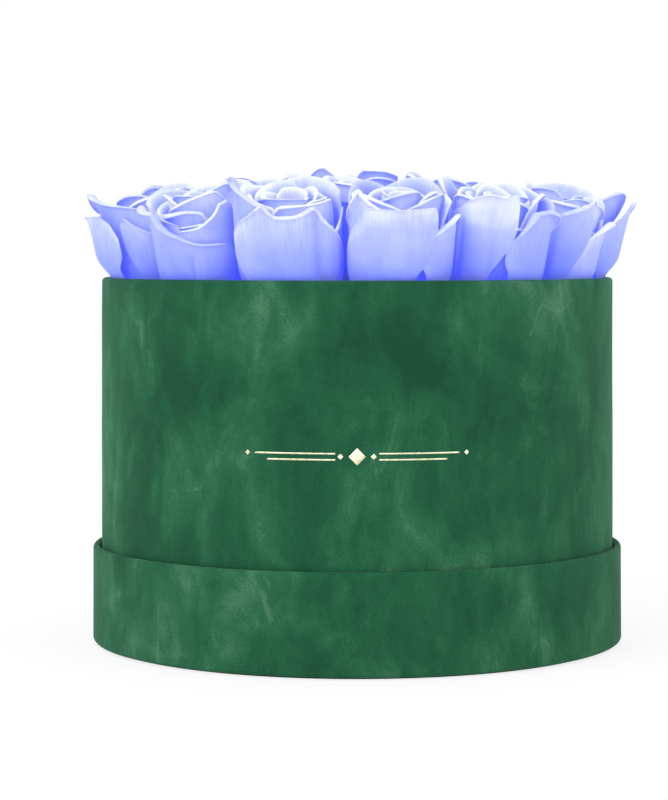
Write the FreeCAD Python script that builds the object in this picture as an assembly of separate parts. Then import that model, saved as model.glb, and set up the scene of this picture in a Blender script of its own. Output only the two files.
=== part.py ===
import FreeCAD, Part
import math
import os

# Round flower box, in millimetres: +Z up, front at -Y, origin on the floor at the middle of the base.
# The box stands in its own lid, which is turned over and used as a tray.

# Covered board
BODY_RADIUS = 127.8
RIM_HEIGHT = 181.0
LID_HEIGHT = 48.8
LID_GAP = 0.4
BOX_BOARD = 2.0
LID_BOARD = 2.0
SUEDE = 0.8
PAPER = 0.3
GLUE = 0.1
EDGE_ROUND = 2.0
BOX_TURN_IN = 20.0
LID_TURN_IN = 15.0
HEM_WIDTH = 16.0
DISC_INSET = 5.0

# Foam bricks
FOAM_DROP = 31.0
FOAM_CLEARANCE = 0.3
BRICK_WIDTH = 110.0
BRICK_HEIGHT = 80.0
BRICK_GAP = 0.2

# Rose layout
OUTER_ROSES = 13
SEAT_DROP = 9.0
CROWN = 5.0
LEAN = 12.0
FRONT_ROSE_ANGLE = -17.0
INNER_RING_TURN = 20.0
ROSE_GAP = 0.94
RIM_GAP = 1.0
TWIST = 137.5
FIT_STEPS = 12

# Stem and hip
STEM_RADIUS = 2.2
STEM_DEPTH = 45.0
STEM_CLEARANCE = 0.3
HIP_LENGTH = 10.0
SEAT_GAP = 0.3

# Petals: whorls from the outside inwards, each set in and raised from the one outside it
PETAL = 0.8
BASE_SPREAD = 24.0
SHOULDER_DROP = 14.0
TIP_MARGIN = 0.5
LIP_BANDS = 2
OUTER_WHORL = {
    "petals": 5, "spread": 50.0, "base_r": 6.6, "base_z": 0.0,
    "height": 47.0, "curl": 2.8, "swing": 1.10,
}
MIDDLE_WHORL = {
    "petals": 4, "spread": 62.0, "base_r": 5.2, "base_z": 2.0,
    "inset": 5.6, "rise": 5.0, "curl": 2.8, "swing": 0.92,
}
INNER_WHORL = {
    "petals": 3, "spread": 80.0, "base_r": 3.9, "base_z": 4.0,
    "inset": 5.4, "rise": 4.0, "curl": 2.4, "swing": 0.78,
}
WHORLS = [OUTER_WHORL, MIDDLE_WHORL, INNER_WHORL]
BUD_BASE_Z = 6.0
BUD_BASE_RADIUS = 2.0
BUD_RADIUS = 6.6
BUD_TIP_RADIUS = 1.6
BUD_WIDEST_Z = 36.0
BUD_HEIGHT = 54.0

# Fits
LAYER = SUEDE + GLUE
LID_CLEAR_RADIUS = BODY_RADIUS + LID_GAP
LID_RADIUS = LID_CLEAR_RADIUS + LAYER + LID_BOARD + LAYER
BOX_BOTTOM = 2 * LAYER + LID_BOARD + GLUE + PAPER
BOX_FLOOR = BOX_BOTTOM + 2 * LAYER + BOX_BOARD + GLUE + PAPER
RIM_CLEAR_RADIUS = BODY_RADIUS - LAYER - BOX_BOARD - LAYER
BOX_LINED_RADIUS = BODY_RADIUS - LAYER - BOX_BOARD - GLUE - PAPER
FOAM_RADIUS = BOX_LINED_RADIUS - FOAM_CLEARANCE
FOAM_TOP = RIM_HEIGHT - FOAM_DROP

ORIGIN = FreeCAD.Vector(0, 0, 0)
UP = FreeCAD.Vector(0, 0, 1)
ALONG_X = FreeCAD.Vector(1, 0, 0)
ALONG_Y = FreeCAD.Vector(0, 1, 0)
QUARTER_TURN = 90.0
FULL_TURN = 360.0


def save(node, solids):
    shape = solids[0] if len(solids) == 1 else Part.makeCompound(solids)
    shape.exportStep("parts/" + node + ".step")


def at(radius, z):
    """A point of a profile that is turned about the Z axis."""
    return FreeCAD.Vector(radius, 0, z)


def arc(start, middle, end):
    return Part.Arc(start, middle, end).toShape()


def line(start, end):
    return Part.LineSegment(start, end).toShape()


def turned(edges, degrees=FULL_TURN):
    face = Part.Face(Part.Wire(edges))
    return face.revolve(ORIGIN, UP, degrees)


def rounded(corners):
    """Edges of a closed profile of (radius, z, fillet) corners."""
    ends = []
    for i, (radius, z, fillet) in enumerate(corners):
        corner = at(radius, z)
        before = at(*corners[i - 1][:2]).sub(corner).normalize()
        after = at(*corners[(i + 1) % len(corners)][:2]).sub(corner).normalize()
        half = before.getAngle(after) / 2
        reach = fillet / math.tan(half)
        inward = before.add(after).normalize()
        middle = corner.add(inward.multiply(fillet / math.sin(half) - fillet))
        ends.append((corner.add(before.multiply(reach)), middle, corner.add(after.multiply(reach))))
    edges = []
    for i, (start, middle, end) in enumerate(ends):
        if corners[i][2] > 0:
            edges.append(arc(start, middle, end))
        edges.append(line(end, ends[(i + 1) % len(ends)][0]))
    return edges


def ring(inner, outer, bottom, top):
    return turned(rounded([(inner, bottom, 0), (outer, bottom, 0), (outer, top, 0), (inner, top, 0)]))


def disc(radius, bottom, top):
    return Part.makeCylinder(radius, top - bottom, at(0, bottom))


def side_cover(radius, bottom, top, board, turn_in):
    """Suede round the wall: hem under the bottom, up the side, over the rim and down inside."""
    wall_outer = radius - LAYER + GLUE
    wall_inner = radius - LAYER - board - GLUE
    clear = wall_inner - SUEDE
    hem = radius - HEM_WIDTH
    return turned(rounded([
        (hem, bottom, 0),
        (radius, bottom, EDGE_ROUND),
        (radius, top, EDGE_ROUND),
        (clear, top, EDGE_ROUND),
        (clear, top - turn_in, 0),
        (wall_inner, top - turn_in, 0),
        (wall_inner, top - SUEDE, 0),
        (wall_outer, top - SUEDE, 0),
        (wall_outer, bottom + SUEDE, 0),
        (hem, bottom + SUEDE, 0),
    ]))


def covered_tray(names, radius, bottom, top, board, turn_in):
    """A board cylinder with one closed end, covered in suede outside and lined with paper inside."""
    end_cover, cover, wall, end_board, side_lining, end_lining = names
    board_z = bottom + 2 * LAYER
    floor_z = board_z + board + GLUE
    wall_inner = radius - LAYER - board
    lined = wall_inner - GLUE - PAPER
    save(end_cover, [disc(radius - DISC_INSET, bottom, bottom + SUEDE)])
    save(cover, [side_cover(radius, bottom + LAYER, top, board, turn_in)])
    save(wall, [ring(wall_inner, radius - LAYER, board_z, top - LAYER)])
    save(end_board, [disc(wall_inner - GLUE, board_z, board_z + board)])
    save(side_lining, [ring(lined, wall_inner - GLUE, floor_z, top - turn_in - GLUE)])
    save(end_lining, [disc(lined - GLUE, floor_z, floor_z + PAPER)])


def bowl_depth(whorl):
    """Height of the ball-shaped bowl between a petal's base and its upright wall."""
    return math.sqrt(whorl["rim_r"] ** 2 - whorl["base_r"] ** 2)


def petal_reach(whorl, height):
    """Outer radius of a whorl's petals at a height inside the bowl."""
    below = max(whorl["base_z"] + bowl_depth(whorl) - height, 0)
    return math.sqrt((whorl["rim_r"] + PETAL) ** 2 - below ** 2) + whorl["swing"]


def petal_section(whorl):
    """Section of a petal: bowl, upright wall and outward curl, the inner face first."""
    rim, curl = whorl["rim_r"], whorl["curl"]
    bowl_centre = at(0, whorl["base_z"] + bowl_depth(whorl))
    curl_centre = at(rim + curl, whorl["height"] - curl)
    low = -math.acos(whorl["base_r"] / rim)
    steps = [math.pi / 2 * i / LIP_BANDS for i in range(LIP_BANDS + 1)]

    def bowl(r, angle):
        return bowl_centre.add(at(r * math.cos(angle), r * math.sin(angle)))

    def lip(r, angle):
        return curl_centre.add(at(-r * math.cos(angle), r * math.sin(angle)))

    outer = rim + PETAL
    flare = [lip(curl, step) for step in steps] + [lip(curl - PETAL, step) for step in reversed(steps)]
    points = [bowl(rim, 0)] + flare + [bowl(outer, 0)]
    edges = [arc(bowl(rim, low), bowl(rim, low / 2), bowl(rim, 0))]
    for start, end in zip(points, points[1:]):
        edges.append(line(start, end))
    edges.append(arc(bowl(outer, 0), bowl(outer, low / 2), bowl(outer, low)))
    edges.append(line(bowl(outer, low), bowl(rim, low)))
    return edges


def petal_outline(whorl):
    """The petal seen from the front, narrow at its base with a round top, as a bar along X."""
    base_half = whorl["base_r"] * math.sin(math.radians(BASE_SPREAD))
    half = whorl["rim_r"] * math.sin(math.radians(whorl["spread"])) + PETAL
    base_z = whorl["base_z"] - PETAL
    bowl_top = whorl["base_z"] + bowl_depth(whorl)
    shoulder = whorl["height"] - SHOULDER_DROP

    def seen(y, z):
        return FreeCAD.Vector(0, y, z)

    edges = [
        line(seen(-base_half, base_z), seen(base_half, base_z)),
        line(seen(base_half, base_z), seen(half, bowl_top)),
        line(seen(half, bowl_top), seen(half, shoulder)),
        arc(seen(half, shoulder), seen(0, whorl["height"] + TIP_MARGIN), seen(-half, shoulder)),
        line(seen(-half, shoulder), seen(-half, bowl_top)),
        line(seen(-half, bowl_top), seen(-base_half, base_z)),
    ]
    depth = whorl["rim_r"] + whorl["curl"] + PETAL
    return Part.Face(Part.Wire(edges)).extrude(ALONG_X * depth)


def petal(whorl):
    """One petal facing +X, swung so that one edge lies outside its neighbour and the other inside."""
    shell = turned(petal_section(whorl), 2 * whorl["spread"])
    shell.rotate(ORIGIN, UP, -whorl["spread"])
    leaf = shell.common(petal_outline(whorl)).Solids[0]
    pivot = whorl["rim_r"]
    leaf.rotate(at(pivot, 0), UP, math.degrees(whorl["swing"] / pivot))
    return leaf


def bud():
    """The closed heart of the rose."""
    base_z = BUD_BASE_Z + SEAT_GAP
    outline = [
        at(0, base_z),
        at(BUD_BASE_RADIUS, base_z),
        at(BUD_RADIUS, BUD_WIDEST_Z),
        at(BUD_TIP_RADIUS, BUD_HEIGHT),
        at(0, BUD_HEIGHT),
    ]
    return turned([line(start, end) for start, end in zip(outline, outline[1:] + outline[:1])])


def rose_head():
    pieces = [bud()]
    for whorl in WHORLS:
        leaf = petal(whorl)
        step = FULL_TURN / whorl["petals"]
        for i in range(whorl["petals"]):
            copy = leaf.copy()
            copy.rotate(ORIGIN, UP, i * step)
            pieces.append(copy)
    return pieces


def seat_radius(whorl):
    """Hip radius under a whorl, clear of the petal's swung inner edge."""
    pull_in = whorl["swing"] * math.sin(math.radians(BASE_SPREAD))
    return whorl["base_r"] - pull_in - SEAT_GAP


def stem(length):
    """Stem and hip in one piece; the hip steps in under each whorl and ends under the bud."""
    neck = at(STEM_RADIUS, -HIP_LENGTH)
    shoulder = at(seat_radius(OUTER_WHORL), -2 * PETAL)
    points = [at(seat_radius(w), w["base_z"] - PETAL) for w in WHORLS]
    points.append(at(BUD_BASE_RADIUS, BUD_BASE_Z))
    points.append(at(0, BUD_BASE_Z))
    points.append(at(0, -length))
    points.append(at(STEM_RADIUS, -length))
    points.append(neck)
    edges = [line(neck, shoulder)]
    start = shoulder
    for point in points:
        edges.append(line(start, point))
        start = point
    return turned(edges)


class Spot:
    """Where one rose sits: its ring, its angle from the front and its lean."""

    def __init__(self, node, base_radius, base_z, lean, angle, twist):
        self.node = node
        self.stem_length = (base_z - FOAM_TOP) / math.cos(math.radians(lean)) + STEM_DEPTH
        spin = FreeCAD.Placement(ORIGIN, FreeCAD.Rotation(UP, twist))
        tip = FreeCAD.Placement(at(base_radius, base_z), FreeCAD.Rotation(ALONG_Y, lean))
        turn = FreeCAD.Placement(ORIGIN, FreeCAD.Rotation(UP, angle - QUARTER_TURN))
        self.placement = turn.multiply(tip).multiply(spin)

    def put(self, shape):
        placed = shape.copy()
        placed.Placement = self.placement.multiply(placed.Placement)
        return placed


def outer_lip_radius():
    """Radius of the ring through the lips of the outer roses, which clear the rim as they lean out."""
    lean = math.radians(LEAN)
    rim_reach = petal_reach(OUTER_WHORL, SEAT_DROP / math.cos(lean)) / math.cos(lean)
    base = RIM_CLEAR_RADIUS - RIM_GAP - rim_reach - SEAT_DROP * math.tan(lean)
    return base + OUTER_WHORL["height"] * math.sin(lean)


def fit_whorls():
    """Opens the whorls until the outer roses fill the round of the rim side by side."""
    OUTER_WHORL["rim_r"] = RIM_CLEAR_RADIUS / OUTER_ROSES
    for _ in range(FIT_STEPS):
        half_pitch = outer_lip_radius() * math.sin(math.pi / OUTER_ROSES)
        OUTER_WHORL["rim_r"] = half_pitch - ROSE_GAP / 2 - OUTER_WHORL["curl"]
    for outside, whorl in zip(WHORLS, WHORLS[1:]):
        whorl["rim_r"] = outside["rim_r"] - whorl["inset"]
        whorl["height"] = outside["height"] + whorl["rise"]


def rose_spots():
    """Rings of roses from the rim to the middle, as many in each inner ring as its round has room for."""
    outer_lip = outer_lip_radius()
    lip_lift = OUTER_WHORL["height"]
    pitch = 2 * (OUTER_WHORL["rim_r"] + OUTER_WHORL["curl"]) + ROSE_GAP
    rings = int(outer_lip // pitch)
    base_z = RIM_HEIGHT - SEAT_DROP
    spots = []
    for ring_number in range(rings, 0, -1):
        share = ring_number / rings
        lip_radius = outer_lip * share
        ring_lean = LEAN * share
        ring_z = base_z + CROWN * (1 - share)
        base_radius = lip_radius - lip_lift * math.sin(math.radians(ring_lean))
        row = rings - ring_number
        start = FRONT_ROSE_ANGLE + INNER_RING_TURN * row
        if row == 0:
            ring_name, count = "outer_rose", OUTER_ROSES
        else:
            ring_name = "inner_rose" if row == 1 else "inner_rose_row_{}".format(row)
            count = int(math.pi / math.asin(pitch / 2 / lip_radius))
        for i in range(count):
            node = "{}_{:02d}".format(ring_name, i + 1)
            angle = start + FULL_TURN * i / count
            spots.append(Spot(node, base_radius, ring_z, ring_lean, angle, TWIST * len(spots)))
    spots.append(Spot("centre_rose", 0, base_z + CROWN, 0, 0, TWIST * len(spots)))
    return spots


def brick_layer(bottom, top, turn):
    """Three foam bricks side by side, trimmed to the round of the box."""
    reach = FOAM_RADIUS + BRICK_GAP
    edges = [-reach, -BRICK_WIDTH / 2, BRICK_WIDTH / 2, reach]
    bricks = []
    for left, right in zip(edges, edges[1:]):
        width = right - left - BRICK_GAP
        corner = FreeCAD.Vector(left + BRICK_GAP / 2, -reach, bottom)
        brick = Part.makeBox(width, 2 * reach, top - bottom, corner)
        brick.rotate(ORIGIN, UP, turn)
        bricks.append(brick.common(disc(FOAM_RADIUS, bottom, top)))
    return bricks


def save_foam(spots):
    middle = BOX_FLOOR + BRICK_HEIGHT
    for i, brick in enumerate(brick_layer(BOX_FLOOR, middle, QUARTER_TURN)):
        save("foam_lower_{}".format(i + 1), [brick.Solids[0]])
    holes = []
    for spot in spots:
        length = spot.stem_length + STEM_CLEARANCE
        hole = Part.makeCylinder(STEM_RADIUS + STEM_CLEARANCE, length, at(0, -length))
        holes.append(spot.put(hole))
    for i, brick in enumerate(brick_layer(middle, FOAM_TOP, 0)):
        save("foam_upper_{}".format(i + 1), [brick.cut(holes).Solids[0]])


def save_roses(spots):
    head = rose_head()
    for spot in spots:
        save(spot.node, [spot.put(piece) for piece in head])
    save("rose_stems", [spot.put(stem(spot.stem_length)) for spot in spots])


def main():
    os.makedirs("parts", exist_ok=True)
    lid_names = [
        "lid_top_cover", "lid_side_cover", "lid_wall",
        "lid_top_board", "lid_side_lining", "lid_top_lining",
    ]
    box_names = [
        "box_bottom_cover", "box_side_cover", "box_wall",
        "box_bottom_board", "box_side_lining", "box_bottom_lining",
    ]
    covered_tray(lid_names, LID_RADIUS, 0, LID_HEIGHT, LID_BOARD, LID_TURN_IN)
    covered_tray(box_names, BODY_RADIUS, BOX_BOTTOM, RIM_HEIGHT, BOX_BOARD, BOX_TURN_IN)
    fit_whorls()
    spots = rose_spots()
    save_foam(spots)
    save_roses(spots)


main()
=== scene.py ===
import bpy
import bmesh
import math
import random
from mathutils import Matrix, Vector, noise


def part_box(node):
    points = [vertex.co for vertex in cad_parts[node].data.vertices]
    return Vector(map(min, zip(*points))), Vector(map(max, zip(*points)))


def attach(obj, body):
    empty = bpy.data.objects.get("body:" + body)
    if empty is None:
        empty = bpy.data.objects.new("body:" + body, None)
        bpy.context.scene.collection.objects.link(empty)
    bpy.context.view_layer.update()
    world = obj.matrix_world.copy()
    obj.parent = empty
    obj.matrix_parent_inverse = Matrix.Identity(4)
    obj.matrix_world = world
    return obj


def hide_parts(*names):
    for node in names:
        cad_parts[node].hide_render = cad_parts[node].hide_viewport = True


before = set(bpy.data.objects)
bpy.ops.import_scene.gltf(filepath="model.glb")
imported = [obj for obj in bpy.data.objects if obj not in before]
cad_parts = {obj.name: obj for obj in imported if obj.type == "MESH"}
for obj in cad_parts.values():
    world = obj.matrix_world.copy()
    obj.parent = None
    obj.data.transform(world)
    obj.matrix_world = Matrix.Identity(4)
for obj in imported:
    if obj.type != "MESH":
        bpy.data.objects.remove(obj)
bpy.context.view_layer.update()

# Lengths below are in millimetres unless they say otherwise; the scene is in metres.
MM = 0.001

# Camera: level, in front of the box, with the frame shifted as in the photograph
CAMERA_DISTANCE = 1320.0
EYE_HEIGHT = 198.0
LENS = 118.2
SHIFT_X = -0.029
SHIFT_Y = -0.196

# Suede covers
SUEDE = 0.8
EDGE_ROUND = 2.0
EDGE_STEPS = 6
HEM_WIDTH = 16.0
BOX_TURN_IN = 20.0
LID_TURN_IN = 15.0
LINING_CLEAR = 0.5
SIDE_STEP = 6.0
ROUND_STEPS = 300
WELD = 0.01
UNEVEN = 0.16
UNEVEN_SIZE = 38.0
UNEVEN_LEVEL = 0.6
FINE_UNEVEN = 0.4
FINE_SIZE = 0.3
SEAM_WIDTH = 11.0
SEAM_LIFT = 0.55
SEAM_EDGE = 1.2
SEAM_FLAT = 0.4

# Shift of the nap pattern on each cover, in metres, as if each were cut from another stretch of hide. The
# box's shift is set so that lighter nap falls at its left and right sides and darker nap in its middle:
# painted side light.
BOX_PAINTED_SIDE_LIGHT_SHIFT = (0.7, 1.3, 0.9)
LID_HIDE = (0.3, 0.0, 0.0)

# Foil ornament on the front
ORNAMENT_HEIGHT = 101.0
FOIL_LIFT = 0.05
RULE_WIDTH = 0.7
MIDDLE_LOZENGE = 5.6
LOZENGE_TURN = 45.0
MARK_COLUMNS = 24
MARK_ROWS = 4

# Marks on each side of the middle lozenge, by (x, z, width, height, turn in degrees)
SIDE_MARKS = [
    (29.0, 1.4, 38.0, RULE_WIDTH, 0.0),
    (26.0, -1.4, 32.0, RULE_WIDTH, 0.0),
    (51.5, 1.4, 1.7, 1.7, LOZENGE_TURN),
    (7.6, 0.0, 1.9, 1.9, LOZENGE_TURN),
]

# Stage
SKY_STRENGTH = 0.7
FLOOR_WHITE = 0.8
FLOOR_FADE = (160.0, 420.0)
FLOOR_REACH = 3000.0
LIGHT_BOUNCES = 10

# Lamps, by (name, place, target, size, power) in metres and watts
LAMPS = [
    ("key", (-1.1, -1.0, 1.1), (0, 0, 0.15), 1.2, 16),
    ("fill", (1.2, -0.8, 0.6), (0, 0, 0.12), 1.2, 6),
    ("top", (0.1, 0.3, 1.6), (0, 0, 0.2), 1.4, 10),
    ("low_front", (0.0, -1.5, 0.3), (0, 0, 0.05), 0.9, 2.5),
]

# Rose heads
HEAD_HEIGHT = 54.0
OUTER_LEAN = 12.0
FIRST_SEED = 11
NEAR_PITCHES = 1.5
CROWD_GAP = 0.15
CROWD_SOFT = 4.0
RIM_GAP = 0.8
RIM_SPILL = 1.15

# Outer petals
OUTER_PETALS = 5
OUTER_TURN = 144.0
OUTER_REACH = 27.5
OUTER_STEP = 1.5
OUTER_TAPER = 0.5
FRONT_TAPER = 0.8
FRONT_SHOWN = 2
BACKING_REACH = 20.6
BACKING_SPREAD = 85.0
BACKING_HEIGHT = 42.0

# Inner petals
INNER_PETALS = 16
GOLDEN_ANGLE = 137.5
INNER_HEIGHT = 51.0
INNER_LIFT = 3.0
INNER_REACH = 19.8
HEART_REACH = 2.6
HEART_DROP = 3.5
DOME_RISE = 2.0

# One petal
PETAL_THICKNESS = 0.35
# Strength of the petals' painted glow: a faint blue emission standing in for light passing through them,
# though they are no lamp.
PETAL_PAINTED_GLOW = 0.2
OUTER_COLUMNS = 64
INNER_COLUMNS = 24
PETAL_ROWS = 26
ROW_CROWDING = 1.5
BASE_RADIUS = 4.0
BASE_SHARE = 0.6
BASE_NARROW = 0.2
BOWL_HEIGHT = 20.0
BOWL_SHARE = 0.6
SHOULDER_PLACE = 0.72
SHOULDER_SHARE = 0.93
CORNER_SHARE = 0.6
ROLL_STEPS = 10
ROLL_TIGHTEN = 1.6
ROLL_LENGTH = 0.4
ROLL_FADE = 0.9
ROLL_VARY = 0.3
ROLL_WAVE = 2.3
STEEPEST_LIP = 1.8
WRAP_SHARE = 0.55
RIPPLE_WAVE = 0.24
RIPPLE_RISE = 0.6
RIPPLE_TOP = 1.2
CRUMPLE = 0.7
CRUMPLE_SIZE = 11.0
CRUMPLE_STRETCH = 0.6
CRUMPLE_APART = 7
CREASE_WIDTH = 3.0
CREASE_SHARP = 0.4
CREASE_FADE = (2.0, 14.0)
TUCK_GAP = 0.9
TUCK_SOFT = 5.0
TUCK_SIDES = (0.8, 1.0)
TUCK_LAYERS = 6


def linear(red, green, blue):
    """An 8-bit sRGB colour as linear RGBA."""
    def channel(value):
        share = value / 255
        return share / 12.92 if share <= 0.04045 else ((share + 0.055) / 1.055) ** 2.4
    return (channel(red), channel(green), channel(blue), 1.0)


def smooth(low, high, value):
    """Smooth step from 0 at low to 1 at high."""
    share = min(max((value - low) / (high - low), 0.0), 1.0)
    return share * share * (3 - 2 * share)


# Materials

class Nodes:
    """A material's node tree with short ways to add and join nodes."""

    def __init__(self, name):
        self.material = bpy.data.materials.new(name)
        self.material.use_nodes = True
        self.tree = self.material.node_tree
        self.shader = self.tree.nodes["Principled BSDF"]

    def add(self, kind, **values):
        node = self.tree.nodes.new("ShaderNode" + kind)
        for key, value in values.items():
            setattr(node, key, value)
        return node

    def join(self, output, socket):
        self.tree.links.new(output, socket)

    def coordinates(self, scale=(1, 1, 1), turn=(0, 0, 0), shift=(0, 0, 0)):
        place = self.add("TexCoord")
        mapping = self.add("Mapping")
        mapping.inputs["Location"].default_value = shift
        mapping.inputs["Scale"].default_value = scale
        mapping.inputs["Rotation"].default_value = turn
        self.join(place.outputs["Object"], mapping.inputs["Vector"])
        return mapping.outputs["Vector"]

    def noise(self, vector, scale, detail=3.0, roughness=0.5, distortion=0.0):
        node = self.add("TexNoise")
        node.inputs["Scale"].default_value = scale
        node.inputs["Detail"].default_value = detail
        node.inputs["Roughness"].default_value = roughness
        node.inputs["Distortion"].default_value = distortion
        self.join(vector, node.inputs["Vector"])
        return node.outputs["Fac"]

    def math(self, operation, first, second):
        node = self.add("Math", operation=operation)
        for socket, value in zip(node.inputs, (first, second)):
            if isinstance(value, (int, float)):
                socket.default_value = value
            else:
                self.join(value, socket)
        return node.outputs[0]

    def weighted(self, *terms):
        """Sum of (output, weight) terms."""
        total = None
        for output, weight in terms:
            part = self.math("MULTIPLY", output, weight)
            total = part if total is None else self.math("ADD", total, part)
        return total

    def ramp(self, factor, stops):
        node = self.add("ValToRGB")
        elements = node.color_ramp.elements
        while len(elements) < len(stops):
            elements.new(0.5)
        for element, (position, colour) in zip(elements, stops):
            element.position = position
            element.color = colour
        self.join(factor, node.inputs["Fac"])
        return node.outputs["Color"]

    def bump(self, height, strength, distance):
        node = self.add("Bump")
        node.inputs["Strength"].default_value = strength
        node.inputs["Distance"].default_value = distance
        self.join(height, node.inputs["Height"])
        self.join(node.outputs["Normal"], self.shader.inputs["Normal"])

    def attribute(self, name):
        return self.add("Attribute", attribute_name=name).outputs["Fac"]

    def settings(self, **values):
        for key, value in values.items():
            self.shader.inputs[key.replace("_", " ")].default_value = value


def suede_material(name, shift):
    """Emerald suede: cloudy brushed nap, slanted strokes, fine fibres and a few scuffs, with the nap pattern
    moved by the shift; on the box the shift puts lighter nap at the sides and darker nap in the middle as
    painted side light.
    """
    nodes = Nodes(name)
    space = nodes.coordinates(shift=shift)
    strokes = nodes.coordinates(scale=(1, 1, 0.5), turn=(0, 0.35, 0), shift=shift)
    cloud = nodes.noise(space, scale=12, detail=4, roughness=0.6, distortion=0.6)
    patch = nodes.noise(strokes, scale=42, detail=4, roughness=0.6, distortion=0.6)
    stroke = nodes.noise(strokes, scale=120, detail=3, roughness=0.6)
    fibre = nodes.noise(space, scale=1400, detail=2, roughness=0.6)
    bend = nodes.noise(strokes, scale=16, detail=2, roughness=0.5, distortion=0.8)
    off_line = nodes.math("ABSOLUTE", nodes.math("SUBTRACT", bend, 0.5), 0)
    thin_line = nodes.math("LESS_THAN", off_line, 0.005)
    raised_nap = nodes.math("GREATER_THAN", patch, 0.56)
    scuff = nodes.math("MULTIPLY", thin_line, raised_nap)
    nap = nodes.weighted((cloud, 0.42), (patch, 0.34), (stroke, 0.10), (fibre, 0.14), (scuff, 0.03))
    colour = nodes.ramp(nap, [
        (0.40, linear(17, 65, 43)),
        (0.48, linear(24, 79, 53)),
        (0.55, linear(38, 93, 65)),
        (0.63, linear(72, 116, 88)),
    ])
    nodes.join(colour, nodes.shader.inputs["Base Color"])
    nodes.settings(Roughness=0.95, Sheen_Weight=0.24, Sheen_Roughness=0.45, Specular_IOR_Level=0.15)
    nodes.shader.inputs["Sheen Tint"].default_value = linear(130, 190, 155)
    nodes.bump(nodes.weighted((fibre, 0.7), (stroke, 0.3)), strength=0.35, distance=0.0003)
    return nodes.material


def petal_material():
    """Preserved rose petals, faintly veined and mottled. The blue deepens towards the base and pales on the
    lip, partly the petal's own colour and partly painted shade deep in the cup; some front petals carry
    darker tones as painted shade, and a faint blue emission is a painted glow for light passing through.
    """
    nodes = Nodes("petal")
    along = nodes.attribute("along")
    across = nodes.attribute("across")
    tone = nodes.attribute("tone")
    grid = nodes.add("CombineXYZ")
    nodes.join(nodes.math("MULTIPLY", across, 26.0), grid.inputs["X"])
    nodes.join(nodes.math("MULTIPLY", along, 2.2), grid.inputs["Y"])
    nodes.join(nodes.math("MULTIPLY", tone, 40.0), grid.inputs["Z"])
    vein = nodes.noise(grid.outputs["Vector"], scale=1.6, detail=3, roughness=0.6)
    blotch = nodes.noise(nodes.coordinates(), scale=70, detail=3, roughness=0.55)
    # The base-to-lip factor deepens the blue towards each petal's base, partly its own colour and partly
    # painted shade deep in the cup; the petals' tones are random on most and set low on some front petals as
    # painted shade.
    shade = nodes.weighted((along, 0.62), (vein, 0.20), (blotch, 0.26), (tone, 0.22))
    colour = nodes.ramp(shade, [
        (0.40, linear(108, 123, 255)),
        (0.62, linear(132, 145, 255)),
        (0.82, linear(164, 173, 255)),
        (1.00, linear(214, 218, 255)),
    ])
    nodes.join(colour, nodes.shader.inputs["Base Color"])
    # The emission is a painted glow standing in for light passing through the thin petals.
    nodes.settings(Roughness=0.6, Sheen_Weight=0.1, Specular_IOR_Level=0.25, Emission_Strength=PETAL_PAINTED_GLOW)
    nodes.shader.inputs["Emission Color"].default_value = linear(118, 138, 255)
    nodes.bump(vein, strength=0.08, distance=0.0004)
    return nodes.material


def grained_material(name, dark, light, scale, roughness, stretch=(1, 1, 1)):
    """Matt stock with a fine mottled grain, for board, paper, foam and stems."""
    nodes = Nodes(name)
    space = nodes.coordinates(scale=stretch)
    coarse = nodes.noise(space, scale=scale, detail=4, roughness=0.6)
    fine = nodes.noise(space, scale=scale * 8, detail=2, roughness=0.6)
    grain = nodes.weighted((coarse, 0.55), (fine, 0.45))
    nodes.join(nodes.ramp(grain, [(0.35, dark), (0.65, light)]), nodes.shader.inputs["Base Color"])
    nodes.settings(Roughness=roughness, Specular_IOR_Level=0.2)
    nodes.bump(grain, strength=0.25, distance=0.0003)
    return nodes.material


def foil_material():
    """Pale gold hot-stamped foil, a little worn."""
    nodes = Nodes("foil")
    space = nodes.coordinates()
    wear = nodes.noise(space, scale=600, detail=3, roughness=0.6)
    colour = nodes.ramp(wear, [(0.3, linear(206, 206, 160)), (0.7, linear(250, 248, 218))])
    nodes.join(colour, nodes.shader.inputs["Base Color"])
    rough = nodes.ramp(wear, [(0.3, (0.32, 0.32, 0.32, 1)), (0.7, (0.2, 0.2, 0.2, 1))])
    nodes.join(rough, nodes.shader.inputs["Roughness"])
    nodes.settings(Metallic=0.85)
    nodes.bump(wear, strength=0.1, distance=0.0002)
    return nodes.material


# Pieces

def finish_piece(name, bm, material, body, nodes=()):
    """Makes the piece's object, says what it rides on and which finish it takes, and hides the CAD nodes that
    it stands in for.
    """
    mesh = bpy.data.meshes.new(name)
    bm.to_mesh(mesh)
    bm.free()
    mesh.materials.append(material)
    for polygon in mesh.polygons:
        polygon.use_smooth = True
    piece = bpy.data.objects.new(name, mesh)
    bpy.context.scene.collection.objects.link(piece)
    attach(piece, body)
    if nodes:
        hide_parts(*nodes)
    return piece


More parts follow.
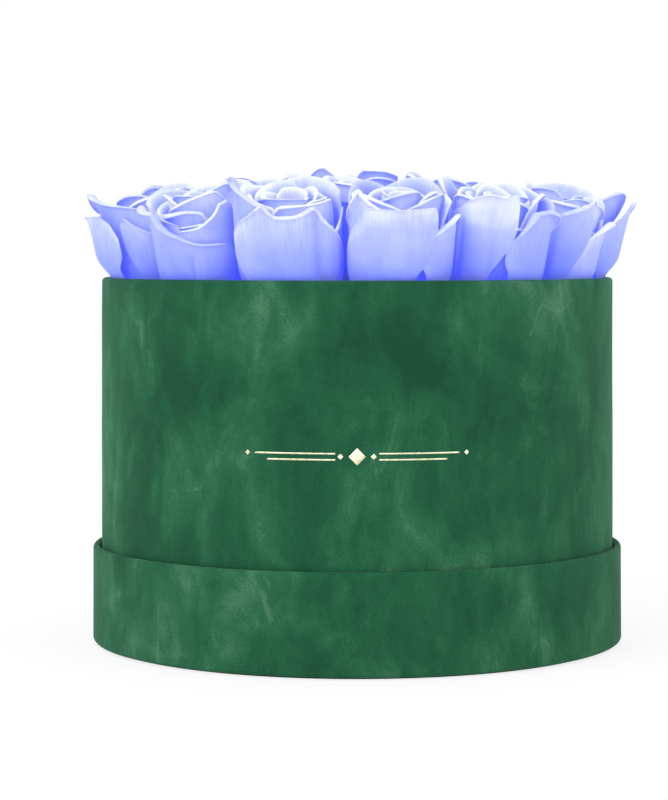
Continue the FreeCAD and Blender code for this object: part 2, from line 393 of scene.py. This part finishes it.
def cover_profile(radius, bottom, top, clear, turn_in):
    """Outer line of a suede cover: hem, side, rim and turned-in edge, as (radius, z) points."""
    points = [(radius - HEM_WIDTH, bottom)]

    def corner(centre_r, centre_z, start):
        for i in range(EDGE_STEPS + 1):
            angle = math.radians(start + 90 * i / EDGE_STEPS)
            r = centre_r + EDGE_ROUND * math.cos(angle)
            z = centre_z + EDGE_ROUND * math.sin(angle)
            points.append((r, z))

    corner(radius - EDGE_ROUND, bottom + EDGE_ROUND, -90)
    side_low = bottom + EDGE_ROUND
    side_high = top - EDGE_ROUND
    count = round((side_high - side_low) / SIDE_STEP)
    for i in range(1, count):
        points.append((radius, side_low + (side_high - side_low) * i / count))
    corner(radius - EDGE_ROUND, top - EDGE_ROUND, 0)
    inner_round = min(EDGE_ROUND, (radius - clear) / 2)
    for i in range(1, EDGE_STEPS + 1):
        angle = math.radians(90 + 90 * i / EDGE_STEPS)
        r = clear + inner_round * (1 + math.cos(angle))
        z = top - inner_round * (1 - math.sin(angle))
        points.append((r, z))
    points.append((clear, top - turn_in))
    return points


def suede_cover(name, radius, bottom, top, clear, turn_in, body, material):
    """One strip of suede round a board wall, lapped at the back and glued down a little unevenly."""
    bm = bmesh.new()
    profile = cover_profile(radius, bottom, top, clear, turn_in)
    start = [bm.verts.new((0, r * MM, z * MM)) for r, z in profile]
    line = [bm.edges.new(pair) for pair in zip(start, start[1:])]
    bmesh.ops.spin(
        bm, geom=start + line, cent=(0, 0, 0), axis=(0, 0, 1), dvec=(0, 0, 0),
        angle=math.tau, steps=ROUND_STEPS, use_merge=True, use_normal_flip=False, use_duplicate=False,
    )
    bmesh.ops.remove_doubles(bm, verts=bm.verts, dist=WELD * MM)
    bmesh.ops.recalc_face_normals(bm, faces=bm.faces)
    bmesh.ops.solidify(bm, geom=bm.faces[:], thickness=SUEDE * MM)
    size = UNEVEN_SIZE * MM
    for vert in bm.verts:
        around = math.atan2(vert.co.x, vert.co.y) * radius
        ripple = noise.noise(vert.co / size) + FINE_UNEVEN * noise.noise(vert.co / (FINE_SIZE * size))
        lap = SEAM_LIFT * smooth(-SEAM_EDGE, 0.0, around) * (1 - smooth(SEAM_FLAT, SEAM_WIDTH, around))
        outside = smooth(clear, radius, math.hypot(vert.co.x, vert.co.y) / MM)
        shift = (UNEVEN * (ripple - UNEVEN_LEVEL) + lap) * outside * MM
        vert.co += Vector((vert.co.x, vert.co.y, 0)).normalized() * shift
    piece = finish_piece(name + "_suede", bm, material, body, [name])
    return piece


def foil_ornament(radius, material):
    """Thin rules and small lozenges either side of a larger lozenge, stamped round the front."""
    bm = bmesh.new()
    lift = radius + FOIL_LIFT

    def mark(x, z, width, height, turn):
        made = bmesh.ops.create_grid(bm, x_segments=MARK_COLUMNS, y_segments=MARK_ROWS, size=0.5)["verts"]
        bmesh.ops.scale(bm, verts=made, vec=(width, height, 1))
        bmesh.ops.rotate(bm, verts=made, matrix=Matrix.Rotation(math.radians(turn), 3, "Z"))
        for vert in made:
            angle = (x + vert.co.x) / radius
            height_z = ORNAMENT_HEIGHT + z + vert.co.y
            vert.co = Vector((lift * math.sin(angle), -lift * math.cos(angle), height_z)) * MM

    for side in (-1, 1):
        for x, z, width, height, turn in SIDE_MARKS:
            mark(side * x, z, width, height, turn)
    mark(0, 0, MIDDLE_LOZENGE, MIDDLE_LOZENGE, LOZENGE_TURN)
    bmesh.ops.recalc_face_normals(bm, faces=bm.faces)
    bmesh.ops.solidify(bm, geom=bm.faces[:], thickness=FOIL_LIFT * MM)
    return finish_piece("foil_ornament", bm, material, "box")


class Rose:
    """Where one rose head sits, read from its node in the frame."""

    def __init__(self, node, ring_radius):
        low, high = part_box(node)
        middle = (Vector(low) + Vector(high)) / 2 / MM
        self.node = node
        self.lip = Vector((middle.x, middle.y))
        self.base_z = low[2] / MM
        self.radius = self.lip.length
        self.outward = self.lip.normalized() if self.radius > 1 else Vector((0, -1))
        self.lean = math.radians(OUTER_LEAN) * self.radius / ring_radius
        self.base = self.lip - self.outward * HEAD_HEIGHT * math.sin(self.lean)
        side = Vector((-self.outward.y, self.outward.x, 0))
        tilt = Matrix.Rotation(self.lean, 4, side)
        facing = Matrix.Rotation(math.atan2(self.outward.x, -self.outward.y), 4, "Z")
        self.matrix = Matrix.Translation((self.base.x, self.base.y, self.base_z)) @ tilt @ facing
        self.near = []

    def axis_at(self, z):
        return self.base + self.outward * (z - self.base_z) * math.tan(self.lean)


def soft_limit(value, limit, soft):
    """The value itself well under the limit, easing towards the limit above that."""
    knee = limit - soft
    if value <= knee:
        return value
    return limit - soft * math.exp(-(value - knee) / soft)


def crowd(point, rose, rim_z, rim_clear):
    """Presses a point of a rose back from its neighbours and from the rim of the box."""
    flat = Vector((point.x, point.y))
    axis = rose.axis_at(point.z)
    for other in rose.near:
        apart = other.axis_at(point.z) - axis
        half = apart.length / 2 - CROWD_GAP
        towards = apart.normalized()
        reach = (flat - axis).dot(towards)
        flat += towards * (soft_limit(reach, half, CROWD_SOFT) - reach)
    limit = rim_clear - RIM_GAP + max(point.z - rim_z, 0) * RIM_SPILL
    radius = flat.length
    if radius > 0:
        flat *= soft_limit(radius, limit, CROWD_SOFT) / radius
    return Vector((flat.x, flat.y, point.z))


def rolled_edge(share, curl):
    """How far a rolled edge goes on and lifts, for a share of its width, as the curl tightens outwards."""
    onward = 0.0
    lift = 0.0
    for i in range(ROLL_STEPS):
        turn = curl * (share * (i + 0.5) / ROLL_STEPS) ** ROLL_TIGHTEN
        onward += math.cos(turn) * share / ROLL_STEPS
        lift += math.sin(turn) * share / ROLL_STEPS
    return onward, lift


def line_through(points, u):
    """Height at u of a smooth line through (u, height) points, level at its peaks and dips."""
    last = len(points) - 2
    place = next((i for i in range(last + 1) if u <= points[i + 1][0]), last)

    def slope(i):
        return (points[i + 1][1] - points[i][1]) / (points[i + 1][0] - points[i][0])

    def tangent(i):
        before = slope(max(i - 1, 0))
        after = slope(min(i, last))
        return 0.0 if before * after <= 0 else 2 * before * after / (before + after)

    (left, low), (right, high) = points[place], points[place + 1]
    span = right - left
    t = min(max((u - left) / span, 0.0), 1.0)
    bend_left = t * (1 - t) ** 2 * span * tangent(place)
    bend_right = -t * t * (1 - t) * span * tangent(place + 1)
    return low + (high - low) * t * t * (3 - 2 * t) + bend_left + bend_right


def plain_lip(height, point=0.0, peak=0.0, slant=0.0):
    """Lip of an ordinary petal: low corners, round shoulders and a point or a dip between them."""
    shoulder = SHOULDER_SHARE * height
    corner = CORNER_SHARE * height
    return [
        (-1.0, corner),
        (-SHOULDER_PLACE, shoulder - slant),
        (peak, height + point),
        (SHOULDER_PLACE, shoulder + slant),
        (1.0, corner),
    ]


class Petal:
    """One petal: a cupped blade whose top edge, set by lip points (u, height), rolls outwards."""

    def __init__(
        self, angle, reach, spread, lip, rolled=5.0, curl=2.7, flare=1.5, taper=0.45, twist=0.0, wave=0.4,
        creases=(), phase=0.0, tone=0.5,
    ):
        self.angle = math.radians(angle)
        self.reach = reach
        self.half_width = reach * math.radians(spread)
        self.lip = lip
        self.height = max(height for u, height in lip)
        self.rolled = rolled
        self.curl = curl
        self.flare = flare
        self.base = min(BASE_RADIUS, BASE_SHARE * reach)
        self.bowl = min(BOWL_HEIGHT, BOWL_SHARE * self.height)
        self.taper = taper
        self.twist = twist
        self.wave = wave
        self.creases = creases
        self.phase = phase
        self.tone = tone

    def roll_width(self, u):
        """Width of the rolled edge, which fades out down the sides."""
        return self.rolled * (1 - ROLL_FADE * u ** 4) * (1 + ROLL_VARY * math.sin(ROLL_WAVE * u + self.phase))

    def top(self, u):
        """Length of the blade from base to edge at u across it."""
        return line_through(self.lip, u) + ROLL_LENGTH * self.roll_width(u)

    def surface(self, x, y):
        """Point of the cup at x round it and y up along it."""
        if y < self.bowl:
            turn = max(y, 0) / self.bowl * math.pi / 2
            radius = self.base + (self.reach - self.base) * math.sin(turn)
            z = self.bowl * (1 - math.cos(turn))
        else:
            above = (y - self.bowl) / (self.height - self.bowl)
            radius = self.reach + self.flare * above * above
            z = y
        share = min(y / self.height, RIPPLE_TOP)
        angle = self.angle + x / max(radius, WRAP_SHARE * self.reach) + self.twist * (share - 0.5)
        ripple = self.wave * math.sin(RIPPLE_WAVE * x + self.phase) * share ** 3
        patch = Vector((x / CRUMPLE_SIZE, CRUMPLE_STRETCH * y / CRUMPLE_SIZE, CRUMPLE_APART * self.phase))
        crumple = noise.noise(patch)
        radius += ripple + CRUMPLE * crumple * share
        for u, depth in self.creases:
            across = (x - u * self.half_width) / CREASE_WIDTH
            side = 1.0 if across * depth > 0 else CREASE_SHARP
            below = line_through(self.lip, x / self.half_width) - y
            radius -= abs(depth) * math.exp(-(across / side) ** 2) * smooth(*CREASE_FADE, below)
        return Vector((radius * math.sin(angle), -radius * math.cos(angle), z + RIPPLE_RISE * ripple))

    def radius_at(self, z):
        """Radius of the plain cup at height z."""
        if z < self.bowl:
            turn = math.acos(max(min(1 - z / self.bowl, 1), -1))
            return self.base + (self.reach - self.base) * math.sin(turn)
        return self.reach + self.flare * ((z - self.bowl) / (self.height - self.bowl)) ** 2

    def press(self, point):
        """Keeps a point of an inner petal behind this one where this one covers it."""
        wall = self.radius_at(point.z) - TUCK_GAP
        radius = math.hypot(point.x, point.y)
        if radius <= wall:
            return point
        turn = math.atan2(point.x, -point.y) - self.angle
        turn = (turn + math.pi) % math.tau - math.pi
        u = turn * wall / self.half_width
        if abs(u) >= 1:
            return point
        depth = self.top(u) - ROLL_LENGTH * self.roll_width(u) - point.z
        covered = smooth(-1, TUCK_SOFT, depth) * (1 - smooth(*TUCK_SIDES, abs(u)))
        scale = 1 - covered * (1 - wall / radius)
        return Vector((point.x * scale, point.y * scale, point.z))

    def place(self, u, v):
        """Point of the petal at u across it and v up it, with the edge rolled out."""
        length = self.top(u)
        width = self.roll_width(u)
        y = length * v
        narrow = BASE_NARROW + (1 - BASE_NARROW) * smooth(0.0, self.taper, v)
        x = u * self.half_width * narrow
        step = 0.01
        rise = self.top(min(u + step, 1)) - self.top(max(u - step, -1))
        slope = rise / (2 * step * self.half_width)
        slope = max(min(slope, STEEPEST_LIP), -STEEPEST_LIP)
        cosine = 1 / math.sqrt(1 + slope * slope)
        inward = (length - y) * cosine
        if inward >= width:
            return self.surface(x, y)
        share = 1 - inward / width
        onward, lift = rolled_edge(share, self.curl)
        shift = (onward - share) * width
        x -= slope * cosine * shift
        y += cosine * shift
        spot = self.surface(x, y)
        delta = 0.3
        along_x = self.surface(x + delta, y) - spot
        along_y = self.surface(x, y + delta) - spot
        outward = along_x.cross(along_y).normalized()
        return spot + outward * lift * width


# Outer petals of the roses that face the camera, from the outside in,
# by (angle from the camera, spread, lip points, changes to an ordinary petal)
# The tones given in the changes are set to each front petal's shading, low where its face lies in shade:
# painted shade.
FRONT_PETALS = {
    "outer_rose_12": [
        (-80, 48, [(-1, 40), (-0.5, 45), (0, 48), (0.5, 48), (0.85, 44), (1, 36)],
         dict(out=3.5, flare=0.5, rolled=2.5, curl=1.0, tone=0.2)),
        (2, 36, [(-1, 42), (-0.84, 45), (-0.4, 40), (0, 36), (0.5, 34), (1, 31)],
         dict(rolled=5.5, curl=2.6, flare=1, tone=0.3)),
        (-46, 60,
         [(-1, 47), (-0.65, 55), (-0.46, 60), (-0.25, 57), (0, 54), (0.4, 51), (0.83, 46), (1, 43)],
         dict(rolled=6, curl=2.5, tone=0.2)),
        (75, 60, plain_lip(46, slant=4), dict(rolled=6)),
        (150, 70, plain_lip(53, point=3), dict(rolled=6)),
    ],
    "outer_rose_13": [
        (-8, 43,
         [(-1, 49), (-0.86, 51), (-0.6, 45), (-0.3, 39.5), (0.2, 33.5), (0.6, 32), (0.93, 30), (1, 27)],
         dict(rolled=6.5, curl=2.8, flare=2, wave=0.2, tone=0.0, creases=[(0.0, -2.0)])),
        (26, 54,
         [(-1, 38), (-0.85, 40), (-0.6, 41), (-0.35, 45), (-0.1, 51), (0.3, 52), (0.67, 49), (1, 40)],
         dict(rolled=7, curl=3.0, tone=0.5)),
        (-72, 50, [(-1, 44), (-0.3, 52), (0.4, 50), (1, 42)], dict(rolled=6)),
        (140, 70, plain_lip(52, point=3), dict(rolled=6)),
        (-140, 70, plain_lip(53, point=2, slant=2), dict(rolled=6)),
    ],
    "outer_rose_01": [
        (5, 76,
         [(-1, 36), (-0.9, 41), (-0.65, 47), (-0.36, 54), (-0.18, 48), (-0.04, 48), (0.24, 51.5),
          (0.55, 38.5), (1, 24)],
         dict(rolled=5, curl=2.9, wave=0.3, tone=0.4, creases=[(0.3, 2.4)])),
        (-48, 48, [(-1, 48), (-0.5, 57), (-0.22, 65), (0.1, 59), (0.5, 52), (1, 43)],
         dict(rolled=6.5, curl=2.6, flare=1)),
        (76, 46, [(-1, 32), (-0.2, 43), (0.3, 45), (1, 36)], dict(rolled=5)),
        (165, 76, plain_lip(54, point=2), dict(rolled=7)),
        (-135, 66, plain_lip(51, point=2), dict(rolled=6)),
    ],
    "outer_rose_02": [
        (-12, 51,
         [(-1, 28), (-0.76, 37), (-0.52, 45), (-0.36, 49.5), (0.24, 50), (0.64, 50.5), (0.92, 51), (1, 47)],
         dict(rolled=2.6, curl=1.6, flare=2, wave=0.2, tone=0.45, creases=[(0.5, -1.2)])),
        (68, 46, [(-1, 34), (-0.5, 43), (0, 46), (0.5, 44), (1, 35)], dict(rolled=5)),
        (-46, 44, [(-1, 36), (-0.4, 48), (0.02, 58), (0.45, 52), (1, 46)], dict(rolled=6, curl=2.9)),
        (160, 74, plain_lip(52, point=4), dict(rolled=6)),
        (-135, 64, plain_lip(52, point=3), dict(rolled=6)),
    ],
    "outer_rose_03": [
        (-27, 47,
         [(-1, 35), (-0.87, 40.5), (-0.41, 47), (-0.13, 51), (0.43, 56), (0.7, 55.5), (0.95, 57), (1, 53)],
         dict(rolled=4, curl=2.2, wave=0.3, tone=0.75, creases=[(-0.3, 2.6), (0.5, -1.4)])),
        (54, 42, [(-1, 33), (-0.9, 37), (-0.48, 50), (0, 51), (0.6, 48), (1, 38)],
         dict(rolled=8, curl=3.3, flare=1, tone=0.2)),
        (-105, 52, plain_lip(52, point=5, peak=-0.2), dict(rolled=6)),
        (165, 72, plain_lip(54, point=2), dict(rolled=7)),
        (110, 54, plain_lip(50, point=3), dict(rolled=6)),
    ],
    "outer_rose_04": [
        (0, 39, [(-1, 31), (-0.71, 39.5), (0.1, 48), (0.58, 52.5), (0.92, 55), (1, 51)],
         dict(rolled=5.5, curl=3.0, wave=0.2, tone=0.3, creases=[(-0.15, 1.8)])),
        (-62, 40, [(-1, 36), (-0.3, 47), (0.3, 50), (1, 42)], dict(rolled=7, curl=3.0)),
        (62, 44, [(-1, 28), (-0.4, 40), (0.2, 46), (1, 38)], dict(rolled=6)),
        (165, 74, plain_lip(56, point=2), dict(rolled=7)),
        (-125, 66, plain_lip(51, point=2), dict(rolled=6)),
    ],
    "outer_rose_05": [
        (82, 54, [(-1, 34), (-0.5, 47), (-0.1, 54), (0.15, 57), (0.5, 51), (1, 38)],
         dict(out=3.5, flare=1, rolled=4, curl=2.2, tone=0.2)),
        (14, 46, [(-1, 42), (-0.3, 48), (0.2, 44), (0.7, 34), (1, 26)],
         dict(rolled=8, curl=3.1, flare=2, tone=0.4)),
        (56, 46, [(-1, 44), (-0.4, 56), (0.1, 60), (0.6, 56), (1, 44)], dict(rolled=5, curl=2.4)),
        (140, 66, plain_lip(53, point=4), dict(rolled=6)),
        (-120, 70, plain_lip(51, point=2), dict(rolled=6)),
    ],
}


def outer_petals(rose, rng):
    """The outermost petals: listed one by one for the front roses and at random on the others."""
    if rose.node in FRONT_PETALS:
        towards_camera = -math.degrees(math.atan2(rose.outward.x, -rose.outward.y))
        petals = []
        for i, (angle, spread, lip, changes) in enumerate(FRONT_PETALS[rose.node]):
            shape = dict(changes)
            reach = OUTER_REACH - OUTER_STEP * i + shape.pop("out", 0.0)
            petals.append(Petal(
                angle=towards_camera + angle,
                reach=reach,
                spread=spread,
                lip=lip,
                taper=FRONT_TAPER if i < FRONT_SHOWN else OUTER_TAPER,
                phase=rng.uniform(0, math.tau),
                tone=shape.pop("tone", rng.random()),
                **shape,
            ))
        petals.append(Petal(towards_camera, BACKING_REACH, BACKING_SPREAD, plain_lip(BACKING_HEIGHT)))
        return petals
    turn = rng.uniform(0, 360)
    return [
        Petal(
            angle=turn + OUTER_TURN * i + rng.uniform(-10, 10),
            reach=OUTER_REACH - OUTER_STEP * i,
            spread=rng.uniform(56, 74),
            lip=plain_lip(
                height=rng.uniform(45, 52),
                point=rng.choice([-4, 2, 4, 7]),
                peak=rng.uniform(-0.45, 0.45),
                slant=rng.uniform(-5, 5),
            ),
            rolled=rng.uniform(4, 9),
            curl=rng.uniform(2.2, 3.3),
            taper=OUTER_TAPER,
            twist=rng.uniform(-0.2, 0.2),
            flare=rng.uniform(1, 3.5),
            phase=rng.uniform(0, math.tau),
            tone=rng.random(),
        )
        for i in range(OUTER_PETALS)
    ]


def rose_petals(rose, seed):
    """Petals of one rose on a spiral from the outside to the heart."""
    rng = random.Random(seed)
    lift = 0.0 if rose.node.startswith("outer") else INNER_LIFT
    petals = outer_petals(rose, rng)
    turn = rng.uniform(0, 360)
    for i in range(INNER_PETALS):
        inner = i / (INNER_PETALS - 1)
        reach = HEART_REACH + (INNER_REACH - HEART_REACH) * (1 - inner) ** 0.9
        dome = DOME_RISE * math.sin(math.pi * inner) - HEART_DROP * inner ** 2
        petals.append(Petal(
            angle=turn + GOLDEN_ANGLE * i + rng.uniform(-10, 10),
            reach=reach,
            spread=66 + 60 * inner ** 1.4 + rng.uniform(-5, 5),
            lip=plain_lip(
                height=INNER_HEIGHT + lift + dome + rng.uniform(-1.5, 1.5),
                point=rng.uniform(-1.5, 5) * (1 - 0.7 * inner),
                peak=rng.uniform(-0.45, 0.45),
                slant=rng.uniform(-4, 4) * (1 - 0.6 * inner),
            ),
            rolled=rng.uniform(4.5, 7.5) * (1 - 0.72 * inner),
            curl=rng.uniform(2.4, 3.3) - 0.8 * inner,
            flare=1.5 - 4.0 * smooth(0.0, 0.8, inner) * min(1, reach / 8),
            wave=rng.uniform(0.2, 0.7) * (1 - 0.6 * inner),
            phase=rng.uniform(0, math.tau),
            tone=rng.uniform(0.4, 1.1),
        ))
    return petals


def rose_piece(rose, petals, rim_z, rim_clear, material):
    """One rose head, each petal a grid that is curved, tucked behind its covers and crowded into place."""
    bm = bmesh.new()
    along = bm.verts.layers.float.new("along")
    across = bm.verts.layers.float.new("across")
    tone = bm.verts.layers.float.new("tone")
    for i, petal in enumerate(petals):
        covers = petals[max(i - TUCK_LAYERS, 0):i]
        columns = OUTER_COLUMNS if i < OUTER_PETALS else INNER_COLUMNS
        made = bmesh.ops.create_grid(bm, x_segments=columns, y_segments=PETAL_ROWS, size=1.0)["verts"]
        for vert in made:
            u = math.sin(math.pi / 2 * vert.co.x)
            share = (vert.co.y + 1) / 2
            v = 1 - (1 - share) ** ROW_CROWDING
            vert[along] = v
            vert[across] = u
            vert[tone] = petal.tone
            spot = petal.place(u, v)
            for cover in covers:
                spot = cover.press(spot)
            vert.co = crowd(rose.matrix @ spot, rose, rim_z, rim_clear) * MM
    piece = finish_piece(rose.node + "_petals", bm, material, "box", [rose.node])
    thickness = piece.modifiers.new("thickness", "SOLIDIFY")
    thickness.thickness = PETAL_THICKNESS * MM
    thickness.offset = 0
    return piece


def build_roses(rim_z, rim_clear, material):
    names = [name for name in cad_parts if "_rose" in name and name != "rose_stems"]
    corners = [Vector(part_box(name)[0]) + Vector(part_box(name)[1]) for name in names]
    ring_radius = max(Vector((both.x, both.y)).length for both in corners) / 2 / MM
    roses = [Rose(name, ring_radius) for name in sorted(names)]
    outer_count = sum(name.startswith("outer") for name in names)
    near_limit = NEAR_PITCHES * 2 * ring_radius * math.sin(math.pi / outer_count)
    for rose in roses:
        others = [other for other in roses if other is not rose]
        rose.near = [other for other in others if (other.lip - rose.lip).length < near_limit]
    for number, rose in enumerate(roses):
        rose_piece(rose, rose_petals(rose, number + FIRST_SEED), rim_z, rim_clear, material)


# Stage

def seen_directly(tree):
    """1 for rays from the camera and in reflections, and 0 for rays that light the object."""
    path = tree.nodes.new("ShaderNodeLightPath")
    total = path.outputs["Is Camera Ray"]
    for name in ("Is Glossy Ray", "Is Transmission Ray"):
        either = tree.nodes.new("ShaderNodeMath")
        either.operation = "MAXIMUM"
        tree.links.new(total, either.inputs[0])
        tree.links.new(path.outputs[name], either.inputs[1])
        total = either.outputs[0]
    return total


def mix_shaders(tree, factor, first, second, output):
    mix = tree.nodes.new("ShaderNodeMixShader")
    tree.links.new(factor, mix.inputs["Fac"])
    tree.links.new(first, mix.inputs[1])
    tree.links.new(second, mix.inputs[2])
    tree.links.new(mix.outputs[0], output.inputs["Surface"])


def floor_material():
    """Matt white floor that fades to plain white away from the object and keeps its shadow."""
    material = bpy.data.materials.new("floor")
    material.use_nodes = True
    tree = material.node_tree
    shader = tree.nodes["Principled BSDF"]
    shader.inputs["Base Color"].default_value = (0.9, 0.9, 0.9, 1)
    shader.inputs["Roughness"].default_value = 0.9
    white = tree.nodes.new("ShaderNodeEmission")
    place = tree.nodes.new("ShaderNodeTexCoord")
    length = tree.nodes.new("ShaderNodeVectorMath")
    length.operation = "LENGTH"
    tree.links.new(place.outputs["Object"], length.inputs[0])
    fade = tree.nodes.new("ShaderNodeMapRange")
    fade.inputs["From Min"].default_value = FLOOR_FADE[0] * MM
    fade.inputs["From Max"].default_value = FLOOR_FADE[1] * MM
    fade.inputs["To Min"].default_value = FLOOR_WHITE
    fade.inputs["To Max"].default_value = 1.0
    tree.links.new(length.outputs["Value"], fade.inputs["Value"])
    factor = tree.nodes.new("ShaderNodeMath")
    factor.operation = "MULTIPLY"
    tree.links.new(fade.outputs["Result"], factor.inputs[0])
    tree.links.new(seen_directly(tree), factor.inputs[1])
    mix_shaders(tree, factor.outputs[0], shader.outputs[0], white.outputs[0], tree.nodes["Material Output"])
    return material


def area_light(name, place, target, size, power):
    data = bpy.data.lights.new(name, "AREA")
    data.size = size
    data.energy = power
    lamp = bpy.data.objects.new(name, data)
    lamp.location = place
    aim = Vector(target) - Vector(place)
    lamp.rotation_euler = aim.to_track_quat("-Z", "Y").to_euler()
    bpy.context.scene.collection.objects.link(lamp)


def build_stage():
    scene = bpy.context.scene
    world = bpy.data.worlds.new("studio")
    world.use_nodes = True
    scene.world = world
    tree = world.node_tree
    sky = tree.nodes["Background"]
    sky.inputs["Color"].default_value = (1, 1, 1, 1)
    sky.inputs["Strength"].default_value = SKY_STRENGTH
    white = tree.nodes.new("ShaderNodeBackground")
    white.inputs["Color"].default_value = (1, 1, 1, 1)
    mix_shaders(tree, seen_directly(tree), sky.outputs[0], white.outputs[0], tree.nodes["World Output"])
    for lamp in LAMPS:
        area_light(*lamp)

    bm = bmesh.new()
    bmesh.ops.create_grid(bm, x_segments=1, y_segments=1, size=FLOOR_REACH * MM)
    mesh = bpy.data.meshes.new("floor")
    bm.to_mesh(mesh)
    bm.free()
    floor = bpy.data.objects.new("floor", mesh)
    scene.collection.objects.link(floor)
    mesh.materials.append(floor_material())


def build_camera():
    data = bpy.data.cameras.new("camera")
    data.lens = LENS
    data.shift_x = SHIFT_X
    data.shift_y = SHIFT_Y
    camera = bpy.data.objects.new("camera", data)
    camera.location = (0, -CAMERA_DISTANCE * MM, EYE_HEIGHT * MM)
    camera.rotation_euler = (math.pi / 2, 0, 0)
    bpy.context.scene.collection.objects.link(camera)
    bpy.context.scene.camera = camera
    bpy.context.scene.view_settings.view_transform = "Standard"
    bpy.context.scene.cycles.diffuse_bounces = LIGHT_BOUNCES


def dress_nodes(looks):
    """Gives each CAD node that still shows its procedural material."""
    for name, material in looks.items():
        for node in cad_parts:
            if node.startswith(name):
                bpy.data.objects[node].data.materials.clear()
                bpy.data.objects[node].data.materials.append(material)


def main():
    build_camera()
    build_stage()
    # The box's nap shift puts lighter nap at the sides and darker nap in the middle: painted side light.
    box_suede = suede_material("box_suede", BOX_PAINTED_SIDE_LIGHT_SHIFT)
    lid_suede = suede_material("lid_suede", LID_HIDE)
    board = grained_material("greyboard", linear(128, 122, 112), linear(160, 153, 141), 180, 0.9)
    paper = grained_material("lining_paper", linear(28, 30, 29), linear(44, 47, 45), 220, 0.8)
    foam = grained_material("foam", linear(58, 92, 58), linear(86, 122, 80), 420, 0.95)
    stalk = grained_material("stem", linear(70, 92, 48), linear(104, 128, 70), 160, 0.7, (1, 1, 0.15))
    petals = petal_material()
    foil = foil_material()
    dress_nodes({
        "lid_top_cover": lid_suede, "box_bottom_cover": box_suede, "lid_wall": board, "box_wall": board,
        "lid_top_board": board, "box_bottom_board": board, "lid_side_lining": paper, "lid_top_lining": paper,
        "box_side_lining": paper, "box_bottom_lining": paper, "foam_": foam, "rose_stems": stalk,
    })
    box_low, box_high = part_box("box_side_cover")
    lid_low, lid_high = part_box("lid_side_cover")
    box_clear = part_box("box_side_lining")[1][0] / MM - LINING_CLEAR
    lid_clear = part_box("lid_side_lining")[1][0] / MM - LINING_CLEAR
    box_radius = box_high[0] / MM
    lid_radius = lid_high[0] / MM
    rim_z = box_high[2] / MM
    suede_cover(
        "box_side_cover", box_radius, box_low[2] / MM, rim_z, box_clear, BOX_TURN_IN, "box", box_suede,
    )
    suede_cover(
        "lid_side_cover", lid_radius, lid_low[2] / MM, lid_high[2] / MM, lid_clear, LID_TURN_IN, "lid",
        lid_suede,
    )
    foil_ornament(box_radius, foil)
    build_roses(rim_z, box_clear, petals)


main()
